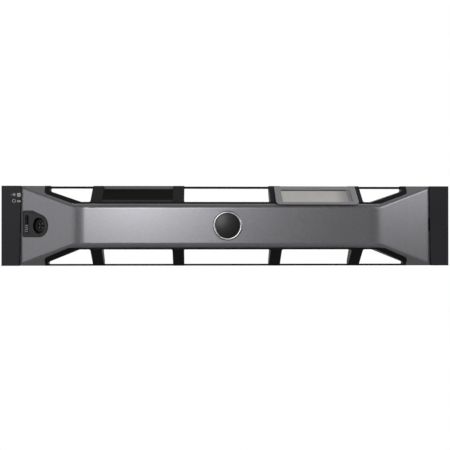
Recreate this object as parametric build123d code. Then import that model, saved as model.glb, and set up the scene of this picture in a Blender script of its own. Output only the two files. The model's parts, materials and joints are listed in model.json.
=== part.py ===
from build123d import *

import os
from math import acos, atan2, cos, hypot, pi, sin, tan

# A front bezel for a two-unit rack enclosure. The origin is the middle of the rear seating plane,
# which bears on the rack ears. +X is to the right seen from the front, the front faces -Y, +Z is up.
# All sizes are in millimetres.

# Whole bezel
panel_width = 482.6
bezel_height = 86.0
front_reach = 45.0
bow_rise = 3.5
running_gap = 0.3
seat_gap = 0.1
overlap = 1.0

# Plan of the fascia: a bowed bar, a rounded fold and a flare running back to each end cap. Insets
# are measured from the ends of the bezel.
fold_inset = 84.3
fold_radius = 40.0
flare_end_reach = 7.0
flare_lap = 20.0

# Grey fascia moulding
fascia_wall = 2.4
flank_wall = 3.0
bar_half_height = 23.0
bar_edge_radius = 5.5
return_depth = 9.0
flank_return_depth = 5.0
crease_inner_drop = 4.8
crease_outer_drop = 2.2
crease_radius = 3.0
rim_top_inset = 0.5
rim_corner_inset_upper = 79.8
rim_corner_inset_lower = 75.8
rim_end_inset = 46.8
rim_end_drop = 8.5
rim_bend_radius = 12.0
rim_end_radius = 5.0
finger_notch_depth = 1.0
finger_notch_height = 15.0
finger_notch_z = 1.5

# Black inner frame moulding
border_setback = 6.0
window_edge_gap = 1.9
window_corner_inset_upper = 87.5
window_corner_inset_lower = 84.7
window_end_inset_upper = 52.1
window_end_inset_lower = 50.2
window_tip_height_upper = 3.2
window_tip_height_lower = 2.4
window_bend_radius = 8.0
window_tip_radius = 2.0
window_rail_radius = 1.0
top_rail_drop = 0.6
top_rail_thickness = 2.2
bottom_rail_thickness = 1.8
rail_depth = 6.0
bar_channel_back = 14.0
bar_channel_inset = 91.3
frame_wall = 2.0
end_plate_inset = 69.3
end_plate_thickness = 3.2
end_plate_reach = 4.0
mechanism_opening_left = 19.3
mechanism_opening_right = 14.7
mechanism_opening_bottom = -27.0
mechanism_opening_gap = 2.0

# Struts between the bar and the rails
strut_fold_gap = 19.5
inner_strut_x = 51.5
strut_width = 12.0
strut_wall = 1.8
strut_rail_reach = 9.0
strut_back_drop = 5.0
strut_fillet = 1.5
rib_back = 22.0

# End caps
cap_width_top = 20.9
cap_width_bottom = 19.4
cap_depth = 9.0
cap_wall = 2.0
cap_edge_radius = 0.8
cap_boss_radius = 3.6
cap_boss_inset = 9.8
cap_boss_z = 14.0

# Screws used throughout
screw_radius = 1.5
screw_pilot_radius = 1.2
screw_head_radius = 2.8
screw_head_height = 1.8
screw_head_edge = 0.8
screw_recess_length = 2.6
screw_recess_width = 0.6
screw_recess_depth = 0.6
screw_clearance = 0.2
counterbore_depth = 2.0
pilot_depth = 7.0
screw_thread = 6.0
cap_screw_thread = 3.5
short_thread = 3.6
flush_head_radius = 2.9

# Fascia bosses and the bridges of the frame that they are screwed to
fascia_boss_radius = 3.2
inner_boss_x = 26.0
bridge_width = 14.0
bridge_thickness = 2.2
bridge_setback = 11.5
flare_boss_inset = 60.3
flare_boss_z = 14.0

# Round badge
badge_radius = 15.25
badge_ring_width = 2.6
badge_ring_height = 1.6
badge_ring_shoulder = 0.2
badge_post_radius = 2.5
badge_dome_rise = 0.9
badge_pocket_depth = 0.8
badge_post_length = 5.0
badge_clip_radius = 6.0
badge_clip_thickness = 0.6
badge_clip_slot = 0.8
badge_clip_slot_reach = 4.0

# Plate over the upper window between the first two struts
nameplate_left_gap = 0.9
nameplate_right_gap = 0.3
nameplate_thickness = 2.0
nameplate_recess = 1.0
nameplate_lip = 1.6
nameplate_lip_height = 0.8
nameplate_corner_radius = 1.5

# Label holder over the upper window between the last two struts
label_left_inset = 0.5
label_right_overhang = 0.6
label_thickness = 1.8
label_overhang_below = 2.8
label_top_drop = 0.5
label_corner_radius = 4.0
label_left_border = 7.0
label_right_border = 9.6
label_bottom_border = 2.8
label_top_border = 3.8
label_pane_thickness = 0.8
label_pane_recess = 0.4
label_pane_corner = 1.5
label_ledge = 1.0
label_grip_width = 3.2
label_grip_depth = 0.9
label_notch_width = 15.0
label_notch_height = 1.6

# Lock escutcheon, in the plane of the left flare, measured from the lock's axis
lock_inset = 41.6
escutcheon_left = 21.8
escutcheon_top = 16.3
escutcheon_radius = 12.2
escutcheon_top_length = 13.0
escutcheon_plate = 1.6
escutcheon_pocket = 1.3
escutcheon_corner = 2.0
escutcheon_rim_inset = 0.5
escutcheon_rim = 1.1
escutcheon_rim_height = 0.5
dish_half_width = 7.7
dish_half_height = 8.6
dish_depth = 3.4
dish_floor = 1.4
dish_wall = 1.2

# Key lock
barrel_radius = 5.9
barrel_flange_radius = 7.0
barrel_flange_height = 1.0
barrel_flange_chamfer = 0.6
barrel_length = 12.0
plug_radius = 4.3
plug_clearance = 0.05
plug_recess = 0.4
key_groove_outer = 3.3
key_groove_inner = 2.0
key_groove_depth = 5.0
key_notch = 1.2
lock_nut_width = 15.5
lock_nut_height = 2.6
cam_length = 16.0
cam_width = 8.0
cam_thickness = 1.8
cam_square = 5.0
cam_root_radius = 4.6
cam_gap = 0.4
cam_screw_radius = 2.6
cam_screw_height = 1.4
cam_screw_slot_width = 0.7
cam_screw_slot_depth = 0.5

# Release slider and its latch bar
slot_offset = -15.8
slot_width = 4.4
slot_top = 11.1
slot_bottom = -8.2
slot_corner_radius = 0.8
slider_height = 9.6
slider_rib_pitch = 2.1
slider_rib_count = 4
slider_rib_height = 0.7
slider_proud = 0.3
slider_middle = -3.0
slider_post_radius = 1.5
rivet_radius = 2.2
rivet_height = 0.7
latch_bar_width = 7.6
latch_bar_thickness = 2.2
latch_bar_setback = 3.9
latch_bar_room = 15.0
latch_bar_bottom = -13.0
latch_travel = 7.5
latch_arm_drop = 1.0
latch_arm_height = 7.0
latch_arm_width = 4.2
latch_arm_root = 6.5
latch_arm_reach = 8.0
latch_hook_drop = 3.0
latch_hook_length = 3.0
guide_wall = 1.6
guide_depth = 7.6
guide_bottom = -16.0
guide_top_drop = 8.0
latch_cover_thickness = 1.4
cover_ear_radius = 3.8
cover_bottom = -24.0
cover_screw_places = ((-7.0, 22.0), (-15.8, -20.4))
spring_radius = 1.9
spring_wire_radius = 0.3
spring_turns = 5
spring_depth = 5.0

# Steel hinge bracket on the right end
bracket_inset = 35.3
bracket_width = 16.0
bracket_height = 60.0
bracket_thickness = 1.5
bracket_screw_levels = (-6.0, 6.0)
hook_z = 20.0
hook_width = 10.0
hook_reach = 7.5
hook_tip = 5.0

# Light pipes in the left end cap
lens_reach = 4.4
lens_centre_reach = 3.2
lens_edge_radius = 0.3
pipe_radius = 1.1
status_lens_drop = 9.9
status_lens_height = 4.6
power_lens_drop = 16.7
power_lens_height = 2.5
lens_proud = 0.3
lens_flange = 0.8

half_width = panel_width / 2
half_height = bezel_height / 2
far = 2 * panel_width

fold_x = half_width - fold_inset
flare_start_x = fold_x - flare_lap
flare_end_x = half_width - cap_width_top
flare_angle = atan2(front_reach - bow_rise - flare_end_reach, flare_end_x - fold_x)
rim_top_z = half_height - rim_top_inset
rim_end_x = half_width - rim_end_inset
window_edge_z = bar_half_height + window_edge_gap
outer_strut_x = fold_x - strut_fold_gap
strut_positions = (-outer_strut_x, -inner_strut_x, inner_strut_x, outer_strut_x)
outer_boss_x = (outer_strut_x + inner_strut_x) / 2
bar_boss_positions = (-outer_boss_x, -inner_boss_x, inner_boss_x, outer_boss_x)
flare_boss_x = half_width - flare_boss_inset
cap_boss_x = half_width - cap_boss_inset
bracket_x = half_width - bracket_inset
lock_x = lock_inset - half_width
guide_top = half_height - guide_top_drop
latch_bar_top = guide_top - latch_bar_room
lens_outer_x = flare_end_x + lens_reach
lens_centre_x = flare_end_x + lens_centre_reach
status_lens_z = half_height - status_lens_drop
power_lens_z = half_height - power_lens_drop
nameplate_left = -outer_strut_x + strut_width / 2 + nameplate_left_gap
nameplate_right = -inner_strut_x - strut_width / 2 - nameplate_right_gap
label_left = inner_strut_x - label_left_inset
label_right = outer_strut_x + label_right_overhang
label_bottom_z = window_edge_z - label_overhang_below
label_top_z = half_height - label_top_drop
label_pane_left = label_left + label_left_border
label_pane_right = label_right - label_right_border
label_pane_bottom_z = label_bottom_z + label_bottom_border
label_pane_top_z = label_top_z - label_top_border


def face_y(x):
    """Depth of the flat flare's front surface at a place along the bezel."""
    return -flare_end_reach - (flare_end_x - abs(x)) * tan(flare_angle)


def bow_y(x):
    """Depth of the bowed bar's front surface at a place along the bezel."""
    bow_radius = (fold_x ** 2 + bow_rise ** 2) / (2 * bow_rise)
    return -front_reach + bow_radius - (bow_radius ** 2 - x ** 2) ** 0.5


def block(x_range, y_range, z_range):
    """Box between two corners."""
    size = [high - low for low, high in (x_range, y_range, z_range)]
    middle = [(high + low) / 2 for low, high in (x_range, y_range, z_range)]
    return Pos(*middle) * Box(*size)


def front_region(setback):
    """Everything behind the fascia's front surface in plan, set back along its normal."""
    fold_y = bow_y(fold_x)
    out_x = half_width + front_reach
    back_y = 2 * front_reach
    right_fold = (fold_x, fold_y)
    left_fold = (-fold_x, fold_y)
    outline = Curve() + [
        ThreePointArc(left_fold, (0, -front_reach), right_fold),
        Line(right_fold, (out_x, face_y(out_x))),
        Line((out_x, face_y(out_x)), (out_x, back_y)),
        Line((out_x, back_y), (-out_x, back_y)),
        Line((-out_x, back_y), (-out_x, face_y(out_x))),
        Line((-out_x, face_y(out_x)), left_fold),
    ]
    region = make_face(outline)
    folds = region.vertices().sort_by(Axis.Y)[:2]
    region = fillet(folds, fold_radius)
    if setback > 0:
        region = offset(region, amount=-setback)
    return region


def behind_front(setback, reach=half_height + overlap):
    """Solid behind the fascia's front surface, as high as asked for."""
    return extrude(front_region(setback), amount=reach, both=True)


def prism(outline):
    """Front-view outline carried through the whole depth of the bezel."""
    return extrude(Plane.XZ * outline, amount=2 * front_reach, both=True)


def mirrored_outline(quarter_top, quarter_bottom):
    """Closed front-view outline from the right-hand points of its top and, upside down, its bottom."""
    right_side = quarter_top + [(x, -z) for x, z in reversed(quarter_bottom)]
    left_side = [(-x, z) for x, z in reversed(right_side)]
    return make_face(Polyline(*right_side, *left_side, close=True))


def cap_edge_x(z, gap=0.0):
    """Inner side of an end cap, which leans a little from top to bottom."""
    share = (half_height - z) / bezel_height
    return half_width - cap_width_top + (cap_width_top - cap_width_bottom) * share - gap


def rounded_at(outline, x, z_range, radius):
    """Outline with the corners near a place along the bezel rounded, on both sides and both levels."""
    low, high = z_range
    corners = outline.vertices().filter_by(lambda corner: abs(abs(corner.X) - x) < overlap)
    corners = corners.filter_by(lambda corner: low < abs(corner.Y) < high)
    return fillet(corners, radius)


def rim_outline(inset=0.0):
    """Outline of the fascia's rim, seen from the front."""
    rim_end_z = half_height - rim_end_drop
    upper_corner_x = half_width - rim_corner_inset_upper
    lower_corner_x = half_width - rim_corner_inset_lower

    def quarter(corner_x, level):
        return [
            (corner_x, bar_half_height),
            (rim_end_x, rim_end_z),
            (rim_end_x, rim_top_z),
            (cap_edge_x(level * rim_top_z, running_gap), rim_top_z),
        ]
    outline = mirrored_outline(quarter(upper_corner_x, 1), quarter(lower_corner_x, -1))
    bend_z = (bar_half_height - overlap, bar_half_height + overlap)
    outline = rounded_at(outline, upper_corner_x, bend_z, rim_bend_radius)
    outline = rounded_at(outline, lower_corner_x, bend_z, rim_bend_radius)
    outline = rounded_at(outline, rim_end_x, (rim_end_z - overlap, rim_end_z + overlap), rim_end_radius)
    if inset != 0:
        outline = offset(outline, amount=-inset, kind=Kind.INTERSECTION)
    return outline


def window_ends():
    """For the upper and the lower windows: their corner, their outer end, and their rail's edge."""
    return {
        1: (half_width - window_corner_inset_upper, half_width - window_end_inset_upper,
            half_height - top_rail_drop - top_rail_thickness, window_tip_height_upper),
        -1: (half_width - window_corner_inset_lower, half_width - window_end_inset_lower,
             half_height - bottom_rail_thickness, window_tip_height_lower),
    }


def window_outline():
    """Outline of the frame between its windows, seen from the front."""
    quarters = {}
    for level, (corner_x, end_x, rail_z, tip_height) in window_ends().items():
        quarters[level] = [
            (corner_x, window_edge_z),
            (end_x, rail_z - tip_height),
            (end_x, half_height),
            (cap_edge_x(level * half_height, running_gap), half_height),
        ]
    outline = mirrored_outline(quarters[1], quarters[-1])
    bend_z = (window_edge_z - overlap, window_edge_z + overlap)
    for corner_x, end_x, rail_z, tip_height in window_ends().values():
        tip_z = rail_z - tip_height
        outline = rounded_at(outline, corner_x, bend_z, window_bend_radius)
        outline = rounded_at(outline, end_x, (tip_z - overlap / 2, tip_z + overlap / 2), window_tip_radius)
    return outline


def window_rail_fills():
    """What rounds the corners between the rails and the windows' outer ends, seen from the front."""
    fills = []
    for level, (_, end_x, rail_z, _) in window_ends().items():
        patch = Pos(end_x, rail_z) * Rectangle(window_rail_radius, window_rail_radius,
                                               align=(Align.MAX, Align.MAX))
        patch -= Pos(end_x - window_rail_radius, rail_z - window_rail_radius) * Circle(window_rail_radius)
        if level < 0:
            patch = mirror(patch, about=Plane.XZ)
        fills += [patch, mirror(patch, about=Plane.YZ)]
    return fills


def flank_plane(upper, inset):
    """Plane of a right-hand flank: through the crease and the top edge, facing outwards."""
    inner = Vector(fold_x, face_y(fold_x), bar_half_height - crease_inner_drop)
    outer = Vector(flare_end_x, face_y(flare_end_x), half_height - crease_outer_drop)
    edge = Vector(rim_end_x, -flare_end_reach - overlap, rim_top_z)
    normal = (outer - inner).cross(edge - inner).normalized()
    if normal.Z < 0:
        normal = normal * -1
    origin = inner - normal * inset
    if not upper:
        normal = Vector(normal.X, normal.Y, -normal.Z)
        origin = Vector(origin.X, origin.Y, -origin.Z)
    return Plane(origin=origin, z_dir=normal)


def fascia_block(setback, flank_setback):
    """Outer form of the fascia, filled, set back on its front surfaces and on its flanks."""
    bar = behind_front(setback, bar_half_height - setback)
    long_edges = bar.edges().filter_by(lambda edge: abs(edge.center().Z) > overlap)
    front_edges = long_edges.filter_by(lambda edge: edge.center().Y < 0)
    bar = fillet(front_edges, bar_edge_radius - setback)
    flare = between_flanks(behind_front(setback), flare_start_x, flank_setback)
    if setback == 0:
        flare = fillet(crease_edges(flare), crease_radius)
    return (bar + flare + mirror(flare, about=Plane.YZ)) & prism(rim_outline(setback))


def between_flanks(form, start_x, setback):
    """Right-hand end of a form, cut off along the two flanks or a distance below them."""
    form &= block((start_x, far), (-far, far), (-half_height, half_height))
    for upper in (True, False):
        form = split(form, bisect_by=flank_plane(upper, setback), keep=Keep.BOTTOM)
    return form


def crease_edges(flare):
    """Edges of a flare where its front surfaces meet its two flanks."""
    creases = []
    for upper in (True, False):
        outward = flank_plane(upper, 0).z_dir
        flank = flare.faces().sort_by(lambda face: face.normal_at().dot(outward))[-1]
        for edge in flank.edges():
            start, end = edge @ 0, edge @ 1
            if abs(start.X - end.X) > overlap and abs(edge.center().Z) < half_height - overlap:
                creases.append(edge)
    return creases


def too_deep():
    """Space that lies further behind the fascia's front and flanks than its walls reach."""
    space = behind_front(return_depth)
    middle = space & block((-fold_x, fold_x), (-far, far), (-far, far))
    end = between_flanks(space, fold_x, flank_return_depth)
    return middle + end + mirror(end, about=Plane.YZ)


flare_plane = Plane(
    origin=(lock_x, face_y(lock_x), 0),
    x_dir=(cos(flare_angle), -sin(flare_angle), 0),
    z_dir=(-sin(flare_angle), -cos(flare_angle), 0),
)


def on_flare(shape, depth=0.0, across=0.0, up=0.0):
    """Shape placed in the plane of the left flare, with its own Z pointing out of the face."""
    return flare_plane * Pos(across, up, -depth) * shape


def flare_block(across, up, depth):
    """Box in the plane of the left flare: ranges across, up and back into the bezel."""
    return flare_plane * block(across, up, (-depth[1], -depth[0]))


def escutcheon_outline():
    """Panel round the lock and the slot: square at the left, round about the lock's axis."""
    corner = (-escutcheon_left, escutcheon_top)
    shoulder = (-escutcheon_left + escutcheon_top_length, escutcheon_top)
    reach = hypot(shoulder[0], shoulder[1])
    start_angle = atan2(shoulder[1], shoulder[0]) - acos(escutcheon_radius / reach)
    middle_angle = (start_angle - pi / 2) / 2
    arc_start = (escutcheon_radius * cos(start_angle), escutcheon_radius * sin(start_angle))
    arc_middle = (escutcheon_radius * cos(middle_angle), escutcheon_radius * sin(middle_angle))
    arc_end = (0, -escutcheon_radius)
    foot = (-escutcheon_left, -escutcheon_radius)
    outline = Curve() + [
        Polyline(foot, corner, shoulder, arc_start),
        ThreePointArc(arc_start, arc_middle, arc_end),
        Line(arc_end, foot),
    ]
    panel = make_face(outline)
    return fillet(panel.vertices().sort_by(Axis.X)[:3], escutcheon_corner)


def slot_outline(gap=0.0):
    """Slot that the release slider runs in."""
    height = slot_top - slot_bottom + 2 * gap
    middle = (slot_top + slot_bottom) / 2
    return Pos(slot_offset, middle) * RectangleRounded(slot_width + 2 * gap, height, slot_corner_radius)


def screw(length):
    """Pan-head screw lying along its own Z, head seat at zero and shank pointing down."""
    head = raised_rod(screw_head_radius, screw_head_height)
    head = chamfer(head.edges().sort_by(Axis.Z)[-1], screw_head_edge)
    shank = sunk_rod(screw_radius, length)
    recess = Box(screw_recess_length, screw_recess_width, 2 * screw_recess_depth)
    recess = Pos(0, 0, screw_head_height) * (recess + Rot(0, 0, 90) * recess)
    return head + shank - recess


def sunk_rod(radius, length):
    """Cylinder along its own Z that reaches down from zero."""
    return Cylinder(radius, length, align=(Align.CENTER, Align.CENTER, Align.MAX))


def raised_rod(radius, length):
    """Cylinder along its own Z that reaches up from zero."""
    return Cylinder(radius, length, align=(Align.CENTER, Align.CENTER, Align.MIN))


def rear_facing(x, y, z):
    """Place for a part driven in from behind: its own Z points to the rear."""
    return Plane(origin=(x, y, z), x_dir=(1, 0, 0), z_dir=(0, 1, 0))


def make_outer_fascia():
    """Painted front moulding: bowed bar, folds, flares and sloping flanks, open at the back."""
    shell = fascia_block(0, 0) - fascia_block(fascia_wall, flank_wall) - too_deep()
    shell &= block((-far, far), (-far, -end_plate_reach - seat_gap), (-half_height, half_height))
    inside = behind_front(fascia_wall / 2)
    for x in bar_boss_positions:
        boss_end = bow_y(x) + bridge_setback
        place = rear_facing(x, boss_end, 0)
        shell += (place * sunk_rod(fascia_boss_radius, bridge_setback)) & inside
        shell -= place * sunk_rod(screw_pilot_radius, pilot_depth)
    for x, z in flare_boss_places():
        place = rear_facing(x, -end_plate_thickness, z)
        shell += (place * sunk_rod(fascia_boss_radius, front_reach)) & inside
        shell -= place * sunk_rod(screw_pilot_radius, pilot_depth)
    shell += latch_guides()
    shell -= badge_plane * Pos(0, 0, -badge_pocket_depth) * raised_rod(badge_radius + seat_gap, front_reach)
    shell -= badge_plane * Cylinder(badge_post_radius + seat_gap, 2 * return_depth)
    panel = extrude(offset(escutcheon_outline(), amount=seat_gap), amount=return_depth)
    shell -= on_flare(panel, escutcheon_pocket)
    shell -= on_flare(extrude(dish_outline(dish_wall + seat_gap), amount=return_depth, both=True))
    shell -= on_flare(extrude(slot_outline(), amount=return_depth / 2, both=True))
    notch_z = (finger_notch_z - finger_notch_height / 2, finger_notch_z + finger_notch_height / 2)
    shell -= block((flare_end_x - finger_notch_depth, half_width), (-far, 0), notch_z)
    return shell


def flare_boss_places():
    """Where the flares are screwed to the frame's end plates."""
    return [(side * flare_boss_x, level * flare_boss_z) for side in (-1, 1) for level in (-1, 1)]


badge_plane = Plane(origin=(0, -front_reach, 0), x_dir=(1, 0, 0), z_dir=(0, -1, 0))


def dish_outline(growth=0.0):
    """Oval dish round the lock's face."""
    return Ellipse(dish_half_width + growth, dish_half_height + growth)


def latch_guides():
    """Walls behind the left flare that guide the latch bar and hold its spring and its cover."""
    inner = latch_bar_width / 2 + running_gap
    outer = inner + guide_wall
    start = fascia_wall / 2
    guides = flare_block((slot_offset - outer, slot_offset - inner), (guide_bottom, guide_top),
                         (start, guide_depth))
    guides += flare_block((slot_offset + inner, slot_offset + outer), (guide_bottom, guide_top),
                          (start, guide_depth))
    for level in (guide_bottom, guide_top - guide_wall):
        guides += flare_block((slot_offset - outer, slot_offset + outer), (level, level + guide_wall),
                              (start, guide_depth))
    for across, up in cover_screw_places:
        guides += on_flare(raised_rod(fascia_boss_radius, guide_depth - start), guide_depth, across, up)
    for across, up in cover_screw_places:
        guides -= on_flare(raised_rod(screw_pilot_radius, guide_depth - fascia_wall), guide_depth, across, up)
    return guides


def strut_front(x):
    """Depth where a strut's sloping front leaves the bar."""
    return bow_y(x) + border_setback


def strut_crest(x):
    """Depth where a strut's sloping front reaches the top of the bezel."""
    return bow_y(x) + front_reach - strut_rail_reach


def strut_plane(left, right, height=0.0):
    """Plane over the sloping fronts of two upper struts, with its own Z pointing outwards."""
    foot = Vector(left, strut_front(left), window_edge_z)
    across = Vector(right, strut_front(right), window_edge_z) - foot
    up = Vector(left, strut_crest(left), half_height) - foot
    normal = across.cross(up).normalized()
    return Plane(origin=foot + normal * height, x_dir=across, z_dir=normal)


def strut_side_profile(x, inset):
    """Side view of an upper strut, or of the hollow in its back when inset."""
    foot_z = window_edge_z - frame_wall / 2 if inset == 0 else window_edge_z
    back = 0 if inset == 0 else overlap
    rise = half_height - window_edge_z
    wall_y = inset * hypot(strut_crest(x) - strut_front(x), rise) / rise
    corners = [
        (strut_front(x) + wall_y, foot_z),
        (strut_crest(x) + inset, half_height - inset),
        (back, half_height - inset),
        (back, half_height - strut_back_drop),
        (-bar_channel_back, foot_z),
    ]
    return make_face(Polyline(*corners, close=True))


def make_strut(x):
    """Hollow rib from the bar up to the top rail, with small fillets at its root."""
    root_z = window_edge_z - frame_wall / 2
    opening = 2 * strut_width
    front = Pos(x, (half_height + root_z) / 2) * Rectangle(opening, half_height - root_z)
    for side in (-1, 1):
        centre = x + side * (strut_width + opening) / 2
        space = RectangleRounded(opening, bezel_height, strut_fillet)
        front -= Pos(centre, window_edge_z + half_height) * space
    side_view = Plane.YZ * strut_side_profile(x, 0)
    body = Pos(x, 0, 0) * extrude(side_view, amount=strut_width, both=True)
    hollow = Plane.YZ * strut_side_profile(x, strut_wall)
    body -= Pos(x, 0, 0) * extrude(hollow, amount=strut_width / 2 - strut_wall, both=True)
    return body & prism(front)


def make_end_plate(side):
    """Rear wall of one end of the frame, with the tongue that carries the end cap."""
    tongue_end = half_width - cap_wall - running_gap
    plate = prism(window_outline()) & block((half_width - end_plate_inset, tongue_end),
                                            (-end_plate_thickness, 0), (-half_height, half_height))
    tongue_half = half_height - cap_wall - running_gap
    plate += block((flare_end_x - overlap, tongue_end), (-end_plate_thickness, 0),
                   (-tongue_half, tongue_half))
    for level in (-1, 1):
        low, high = sorted((level * half_height, level * (half_height - top_rail_thickness)))
        plate += block((rim_end_x, flare_end_x - running_gap), (-end_plate_reach, 0), (low, high))
    return plate if side > 0 else mirror(plate, about=Plane.YZ)


def make_inner_frame():
    """Black moulding: rails, struts, the channel behind the bar and the end plates."""
    band_outline = window_outline() - rim_outline(-seat_gap)
    band_outline &= Rectangle(2 * (rim_end_x + overlap), bezel_height)
    whole_height = (-half_height, half_height)
    flare_band = between_flanks(prism(band_outline) & block((0, far), (-far, 0), whole_height), fold_x,
                                running_gap)
    bar_band = prism(band_outline) & behind_front(border_setback)
    bar_band &= block((-fold_x, fold_x), (-far, 0), whole_height)
    channel_end = half_width - bar_channel_inset
    bar_band -= block((-channel_end, channel_end), (-bar_channel_back, overlap), whole_height)
    frame = bar_band + flare_band + mirror(flare_band, about=Plane.YZ)
    for level, (_, end_x, rail_z, _) in window_ends().items():
        top = half_height - top_rail_drop if level > 0 else half_height
        low, high = sorted((level * rail_z, level * top))
        frame += block((-end_x - overlap, end_x + overlap), (-rail_depth, 0), (low, high))
    for fill in window_rail_fills():
        frame += extrude(Plane.XZ * fill, amount=rail_depth)
    channel_z = (-window_edge_z + overlap, window_edge_z - overlap)
    nose_top = bar_half_height - bar_edge_radius
    for x in strut_positions:
        strut = make_strut(x)
        frame += strut
        frame += mirror(strut, about=Plane.XY)
        rib_x = (x - frame_wall / 2, x + frame_wall / 2)
        frame += block(rib_x, (-far, -rib_back), channel_z) & behind_front(return_depth + running_gap)
        frame += block(rib_x, (-far, -rib_back), (-nose_top, nose_top)) & behind_front(fascia_wall + seat_gap)
    for x in bar_boss_positions:
        seat_y = bow_y(x) + bridge_setback
        bridge_x = (x - bridge_width / 2, x + bridge_width / 2)
        frame += block(bridge_x, (seat_y, seat_y + bridge_thickness), channel_z)
        frame -= rear_facing(x, seat_y, 0) * Cylinder(screw_radius + screw_clearance, 4 * bridge_thickness)
    for side in (-1, 1):
        frame += make_end_plate(side)
    for x, z in flare_boss_places() + cap_boss_places():
        frame -= rear_facing(x, 0, z) * Cylinder(screw_radius + screw_clearance, 4 * end_plate_thickness)
        frame -= rear_facing(x, 0, z) * Cylinder(screw_head_radius + screw_clearance, 2 * counterbore_depth)
    frame -= block((lock_x - mechanism_opening_left, lock_x + mechanism_opening_right),
                   (-end_plate_thickness - overlap, overlap),
                   (mechanism_opening_bottom, guide_top + mechanism_opening_gap))
    pocket = (bracket_x - bracket_width / 2 - seat_gap, bracket_x + bracket_width / 2 + seat_gap)
    frame -= block(pocket, (-bracket_thickness, overlap),
                   (-bracket_height / 2 - seat_gap, bracket_height / 2 + seat_gap))
    for z in bracket_screw_levels:
        frame -= rear_facing(bracket_x, 0, z) * Cylinder(screw_pilot_radius, 4 * end_plate_thickness)
        frame -= rear_facing(bracket_x, 0, z) * countersink(seat_gap)
    for z in (status_lens_z, power_lens_z):
        frame -= rear_facing(-lens_centre_x, 0, z) * Cylinder(pipe_radius + screw_clearance,
                                                              4 * end_plate_thickness)
    return frame


def cap_boss_places():
    """Where the end caps are screwed to the frame's tongues."""
    return [(side * cap_boss_x, level * cap_boss_z) for side in (-1, 1) for level in (-1, 1)]


def make_end_cap(side):
    """Charcoal end cap: a shallow box, open at the back, round the frame's tongue."""
    def outline(inset):
        top = half_height - inset
        return Plane.XZ * make_face(Polyline(
            (cap_edge_x(top) + inset, top),
            (half_width - inset, top),
            (half_width - inset, -top),
            (cap_edge_x(-top) + inset, -top),
            close=True,
        ))
    body = extrude(outline(0), amount=cap_depth)
    front_edges = body.faces().sort_by(Axis.Y)[0].edges()
    body = fillet(front_edges, cap_edge_radius)
    body -= extrude(outline(cap_wall), amount=cap_depth - cap_wall)
    body -= block((0, half_width - cap_wall), (-end_plate_thickness - seat_gap, overlap),
                  (-half_height + cap_wall, half_height - cap_wall))
    boss_end = -end_plate_thickness - seat_gap
    boss_length = cap_depth - cap_wall + boss_end
    for level in (-cap_boss_z, cap_boss_z):
        place = rear_facing(cap_boss_x, boss_end, level)
        body += place * sunk_rod(cap_boss_radius, boss_length + cap_wall / 2)
        body -= place * sunk_rod(screw_pilot_radius, boss_length)
    if side > 0:
        return body
    body = mirror(body, about=Plane.YZ)
    inner_x = -flare_end_x + overlap
    for z, height in ((status_lens_z, status_lens_height), (power_lens_z, power_lens_height)):
        reach = height / 2 + seat_gap
        body -= block((-lens_outer_x - lens_flange - seat_gap, inner_x), (-cap_depth + cap_wall, 0),
                      (z - reach - lens_flange, z + reach + lens_flange))
        body -= block((-lens_outer_x - seat_gap, inner_x), (-2 * cap_depth, 0), (z - reach, z + reach))
    return body


def make_lens(z, height):
    """Clear light pipe: a rectangular face, a shoulder behind the cap's wall and a round tail."""
    inner_x = -cap_edge_x(z) - seat_gap
    face = block((-lens_outer_x, inner_x), (-cap_depth - lens_proud, -cap_depth + cap_wall),
                 (z - height / 2, z + height / 2))
    face = fillet(face.faces().sort_by(Axis.Y)[0].edges(), lens_edge_radius)
    shoulder_y = (-cap_depth + cap_wall, -end_plate_thickness - seat_gap)
    shoulder = block((-lens_outer_x - lens_flange, inner_x), shoulder_y,
                     (z - height / 2 - lens_flange, z + height / 2 + lens_flange))
    tail = rear_facing(-lens_centre_x, 0, z) * sunk_rod(pipe_radius, cap_depth - cap_wall)
    return face + shoulder + tail


def make_badge_ring():
    """Bright ring round the badge, with a rounded crown."""
    inner = badge_radius - badge_ring_width
    middle = (badge_radius + inner) / 2
    profile = make_face(Curve() + [
        Line((inner, -badge_pocket_depth), (badge_radius, -badge_pocket_depth)),
        Line((badge_radius, -badge_pocket_depth), (badge_radius, badge_ring_shoulder)),
        ThreePointArc((badge_radius, badge_ring_shoulder), (middle, badge_ring_height),
                      (inner, badge_ring_shoulder)),
        Line((inner, badge_ring_shoulder), (inner, -badge_pocket_depth)),
    ])
    return badge_plane * revolve(Plane.XZ * profile, axis=Axis.Z)


def make_badge_disc():
    """Plain domed disc inside the ring, held by a post through the fascia."""
    radius = badge_radius - badge_ring_width - seat_gap / 2
    dome_radius = (radius ** 2 + badge_dome_rise ** 2) / (2 * badge_dome_rise)
    disc = Pos(0, 0, -badge_pocket_depth) * raised_rod(radius, badge_pocket_depth + badge_dome_rise)
    disc &= Pos(0, 0, badge_dome_rise - dome_radius) * Sphere(dome_radius)
    disc += Pos(0, 0, -badge_pocket_depth) * sunk_rod(badge_post_radius, badge_post_length)
    return badge_plane * disc


def make_badge_clip():
    """Spring-steel push nut that grips the badge's post behind the fascia."""
    clip = sunk_rod(badge_clip_radius, badge_clip_thickness)
    clip -= Cylinder(badge_post_radius + plug_clearance, 3 * badge_clip_thickness)
    slot = Box(2 * badge_clip_slot_reach, badge_clip_slot, 3 * badge_clip_thickness)
    clip = clip - slot - Rot(0, 0, 90) * slot
    return badge_plane * Pos(0, 0, -fascia_wall - seat_gap) * clip


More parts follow.
